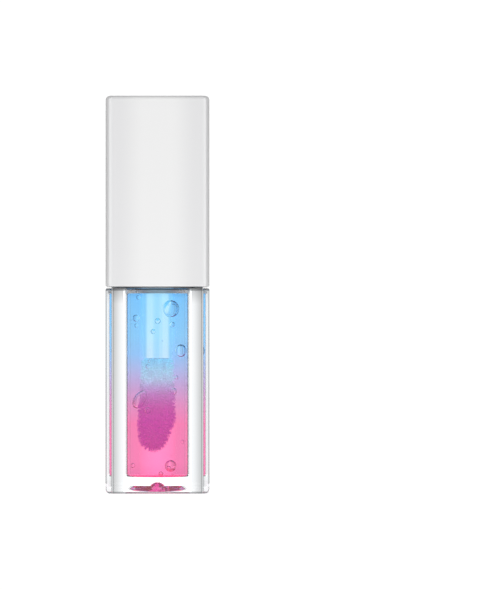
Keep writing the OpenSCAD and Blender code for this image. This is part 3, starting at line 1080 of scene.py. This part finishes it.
turned = add(planting, "FunctionNodeRotateRotation",
             {0: scatter.outputs["Rotation"], 1: tilt.outputs[0]}, rotation_space="LOCAL")
length = add(planting, "FunctionNodeRandomValue",
             {2: SHORTEST, 3: 1.0, "Seed": given["Seed"]}, data_type="FLOAT")
size = add(planting, "ShaderNodeCombineXYZ", {0: 1.0, 1: 1.0, 2: length.outputs[1]}).outputs[0]
shape = add(planting, "GeometryNodeObjectInfo", {"Object": given["Fibre"]})
plants = add(planting, "GeometryNodeInstanceOnPoints",
             {"Points": scatter.outputs["Points"], "Instance": shape.outputs["Geometry"],
              "Rotation": turned.outputs[0], "Scale": size})
both = add(planting, "GeometryNodeJoinGeometry")
planting.links.new(plants.outputs[0], both.inputs[0])
planting.links.new(given["Geometry"], both.inputs[0])
real = add(planting, "GeometryNodeRealizeInstances", {0: both.outputs[0]})
painted = add(planting, "GeometryNodeSetMaterial", {0: real.outputs[0], "Material": given["Material"]})
add(planting, "NodeGroupOutput", {0: painted.outputs[0]})
print("planting tree has", len(planting.nodes), "nodes")

# %% [markdown]
# ## Plant the flock
# The inputs are set by their identifiers, the result is read back as a plain mesh, and any fibre
# that reaches past the model's own box by more than the fuzz is drawn back to it. The top stays
# inside the box, where the flock meets the rod.

# %% Plant the flock
FIBRES_PER_MM2 = 8
FIBRE_LEAN = math.radians(24)
FLOCK_SEED = 7
FUZZ = 0.4 * MM
plant = flock.modifiers.new("plant", "NODES")
plant.node_group = planting
wanted = {
    "Fibre": fibre,
    "Density": FIBRES_PER_MM2 / MM ** 2,
    "Lean": FIBRE_LEAN,
    "Seed": FLOCK_SEED,
    "Material": flock_material,
}
for socket in planting.interface.items_tree:
    if socket.in_out == "INPUT" and socket.name in wanted:
        plant[socket.identifier] = wanted[socket.name]
bpy.context.view_layer.update()
graph = bpy.context.evaluated_depsgraph_get()
planted = bpy.data.meshes.new_from_object(flock.evaluated_get(graph))
flock.modifiers.remove(plant)
flock.data = planted
bpy.data.objects.remove(fibre)
print("flock has", len(planted.polygons), "faces")
low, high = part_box("applicator_flock")
for vert in planted.vertices:
    vert.co = [max(low[i] - FUZZ, min(high[i] + FUZZ * (i < 2), vert.co[i])) for i in range(3)]
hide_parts("applicator_flock")
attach(flock, "cap")

# %% [markdown]
# ## The table
# The tube stands on a small pale table, matt and lit from inside, so that no hard shadow falls on
# it and its white shows through the clear base.

# %% Table
TABLE_R = 60 * MM
TABLE_DROP = 0.1 * MM
TABLE_SIDES = 96
TABLE_LIGHT = 0.75
table_points = [(0, 0, -TABLE_DROP)]
for i in range(TABLE_SIDES):
    angle = 2 * math.pi * i / TABLE_SIDES
    table_points.append((TABLE_R * math.cos(angle), TABLE_R * math.sin(angle), -TABLE_DROP))
table_faces = [(0, i + 1, (i + 1) % TABLE_SIDES + 1) for i in range(TABLE_SIDES)]
table = new_mesh("table", table_points, table_faces)
table_material, table_shader = new_material("table_matt_white")
table_shader.inputs["Roughness"].default_value = 0.9
table_shader.inputs["Base Color"].default_value = (0.9, 0.9, 0.9, 1)
table_shader.inputs["Emission Color"].default_value = (1, 1, 1, 1)
table_shader.inputs["Emission Strength"].default_value = TABLE_LIGHT
table.data.materials.append(table_material)
table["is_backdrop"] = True
print("table is", round(2 * TABLE_R / MM), "mm wide")

# %% [markdown]
# ## A tent of light
# Small glossy things are lit in a tent: soft and bright in front and behind, with dark stretches
# at the sides that draw the upright lines in clear plastic. The world is that tent. Its brightness
# runs round from the front to the back, the same on both sides, and falls off overhead. Light that
# is caught in the plastic finds at least a middling brightness, as it would in a pale room.
# Rays that come straight from the camera see a plain white backdrop instead.

# %% Tent of light
# Each stop is (degrees round from the front, brightness). Both sides are alike.
TENT_STOPS = (
    (0, 0.72), (14, 0.75), (24, 1.25), (38, 1.35), (43, 2.2), (60, 2.2), (70, 0.3), (80, 0.2), (118, 0.2),
    (127, 0.85), (145, 0.9), (149, 0.78), (153, 0.78), (158, 1.0), (170, 1.05), (175, 1.3), (180, 1.45),
)
BRIGHTEST = 2.2
BACKDROP = 1.06
TRAPPED_LEVEL = 0.55
HIGH_LEVEL = 0.3
HIGH_FROM = 0.45
HIGH_FULL = 0.9

world = bpy.data.worlds.new("tent")
bpy.context.scene.world = world
world.use_nodes = True
sky = world.node_tree
sky.nodes.clear()
ray = add(sky, "ShaderNodeTexCoord").outputs["Generated"]
parts = add(sky, "ShaderNodeSeparateXYZ", {0: ray}).outputs
toward = add(sky, "ShaderNodeMath", {0: parts["Y"], 1: -1.0}, operation="MULTIPLY").outputs[0]
turn = add(sky, "ShaderNodeMath", {0: parts["X"], 1: toward}, operation="ARCTAN2").outputs[0]
turn = add(sky, "ShaderNodeMath", {0: turn}, operation="ABSOLUTE").outputs[0]
share = add(sky, "ShaderNodeMath", {0: turn, 1: math.pi}, operation="DIVIDE").outputs[0]
stops = [(degrees / 180, (*[level / BRIGHTEST] * 3, 1)) for degrees, level in TENT_STOPS]
level = set_stops(add(sky, "ShaderNodeValToRGB", {0: share}), stops)
light_path = add(sky, "ShaderNodeLightPath").outputs
trapped = light_path["Is Transmission Ray"]
least = add(sky, "ShaderNodeMath",
            {0: trapped, 1: TRAPPED_LEVEL / BRIGHTEST}, operation="MULTIPLY").outputs[0]
level = add(sky, "ShaderNodeMath", {0: level, 1: least}, operation="MAXIMUM").outputs[0]
lift = add(sky, "ShaderNodeMath", {0: parts["Z"]}, operation="ABSOLUTE").outputs[0]
fall = add(sky, "ShaderNodeMapRange",
           {0: lift, 1: HIGH_FROM, 2: HIGH_FULL, 3: 1.0, 4: HIGH_LEVEL}).outputs[0]
level = add(sky, "ShaderNodeMath", {0: level, 1: fall}, operation="MULTIPLY").outputs[0]
tent = add(sky, "ShaderNodeBackground", {"Color": level, "Strength": BRIGHTEST}).outputs[0]
plain = add(sky, "ShaderNodeBackground", {"Color": (1, 1, 1, 1), "Strength": BACKDROP}).outputs[0]
choice = add(sky, "ShaderNodeMixShader", {0: light_path["Is Camera Ray"], 1: tent, 2: plain}).outputs[0]
add(sky, "ShaderNodeOutputWorld", {"Surface": choice})
print("tent has", len(TENT_STOPS), "stops")

# %% [markdown]
# ## Grey flags
# A photographer stands narrow grey cards, called flags, just behind clear things to give their
# walls a soft grey edge. Ours are seen only by light that has come through the clear wall alone:
# any ray that has crossed more surfaces, so also the gloss, passes straight through them. The
# camera never sees the cards themselves. They are darkest at their middle and at their top.

# %% Grey flags behind
FLAG_BACK = 30 * MM
FLAG_LOW = -5 * MM
FLAG_HIGH = 90 * MM
FLAG_IN = 7.1 * MM
FLAG_FULL = 9.55 * MM
FLAG_OUT = 11.5 * MM
WALL_CROSSINGS = 2.5
FLAG_LEVEL = 0.6
FLAG_EDGE = 1.05
FLAG_TOP = (38.5, 41.6)
FLAG_TOP_LEVEL = 0.6


def flag(name, side):
    """A grey strip that only light through the clear wall can see, darkest at its middle and top."""
    inner, outer = side * FLAG_IN, side * FLAG_OUT
    corners = [(x, FLAG_BACK, z) for x, z in
               ((inner, FLAG_LOW), (outer, FLAG_LOW), (outer, FLAG_HIGH), (inner, FLAG_HIGH))]
    strip = new_mesh(name, corners, [(0, 1, 2, 3)])
    material, shader = new_material(name + "_grey_card")
    tree = material.node_tree
    place = add(tree, "ShaderNodeTexCoord").outputs["Object"]
    parts = add(tree, "ShaderNodeSeparateXYZ", {0: place}).outputs
    across = add(tree, "ShaderNodeMath", {0: parts["X"]}, operation="ABSOLUTE").outputs[0]
    inward = add(tree, "ShaderNodeMapRange",
                 {0: across, 1: FLAG_IN, 2: FLAG_FULL, 3: FLAG_EDGE, 4: FLAG_LEVEL},
                 interpolation_type="SMOOTHSTEP").outputs[0]
    outward = add(tree, "ShaderNodeMapRange",
                  {0: across, 1: FLAG_FULL, 2: FLAG_OUT, 3: FLAG_LEVEL, 4: FLAG_EDGE},
                  interpolation_type="SMOOTHSTEP").outputs[0]
    level = add(tree, "ShaderNodeMath", {0: inward, 1: outward}, operation="MAXIMUM").outputs[0]
    rise = add(tree, "ShaderNodeMapRange", {0: parts["Z"], 1: FLAG_TOP[0] * MM, 2: FLAG_TOP[1] * MM,
                                            3: 1.0, 4: FLAG_TOP_LEVEL}).outputs[0]
    level = add(tree, "ShaderNodeMath", {0: level, 1: rise}, operation="MULTIPLY").outputs[0]
    shader.inputs["Base Color"].default_value = (0, 0, 0, 1)
    shader.inputs["Specular IOR Level"].default_value = 0
    tree.links.new(level, shader.inputs["Emission Strength"])
    shader.inputs["Emission Color"].default_value = (1, 1, 1, 1)
    crossed = add(tree, "ShaderNodeLightPath").outputs["Transmission Depth"]
    hidden = add(tree, "ShaderNodeMath", {0: crossed, 1: WALL_CROSSINGS}, operation="GREATER_THAN").outputs[0]
    clear = add(tree, "ShaderNodeBsdfTransparent").outputs[0]
    choice = add(tree, "ShaderNodeMixShader", {0: hidden, 1: shader.outputs[0], 2: clear}).outputs[0]
    tree.links.new(choice, output_of(tree).inputs["Surface"])
    strip.data.materials.append(material)
    strip.visible_camera = False
    strip.visible_diffuse = False
    strip.visible_glossy = False
    strip.visible_shadow = False
    strip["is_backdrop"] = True
    print(name, "is", round((FLAG_OUT - FLAG_IN) / MM, 1), "mm wide")


flag("flag_left", -1)
flag("flag_right", 1)

# %% [markdown]
# ## How far light travels
# Light crosses the wall, the gloss, the rod and the far wall before it leaves, so it needs many
# bounces, or the clear pieces turn black. The Standard view keeps the colours as they are set.

# %% Light paths
scene = bpy.context.scene
scene.view_settings.view_transform = "Standard"
scene.cycles.max_bounces = 24
scene.cycles.transmission_bounces = 20
scene.cycles.transparent_max_bounces = 16
scene.cycles.use_denoising = True
print("bounces", scene.cycles.max_bounces)

# %% [markdown]
# ## Finish
# The last step prints the size of the box round all the visual pieces. If it is larger than the
# model's box, read at the start, some visual piece has grown past the model that it stands for.

# %% Finish
low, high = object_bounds()
print("model box", [round(v / MM, 2) for v in (high - low)])
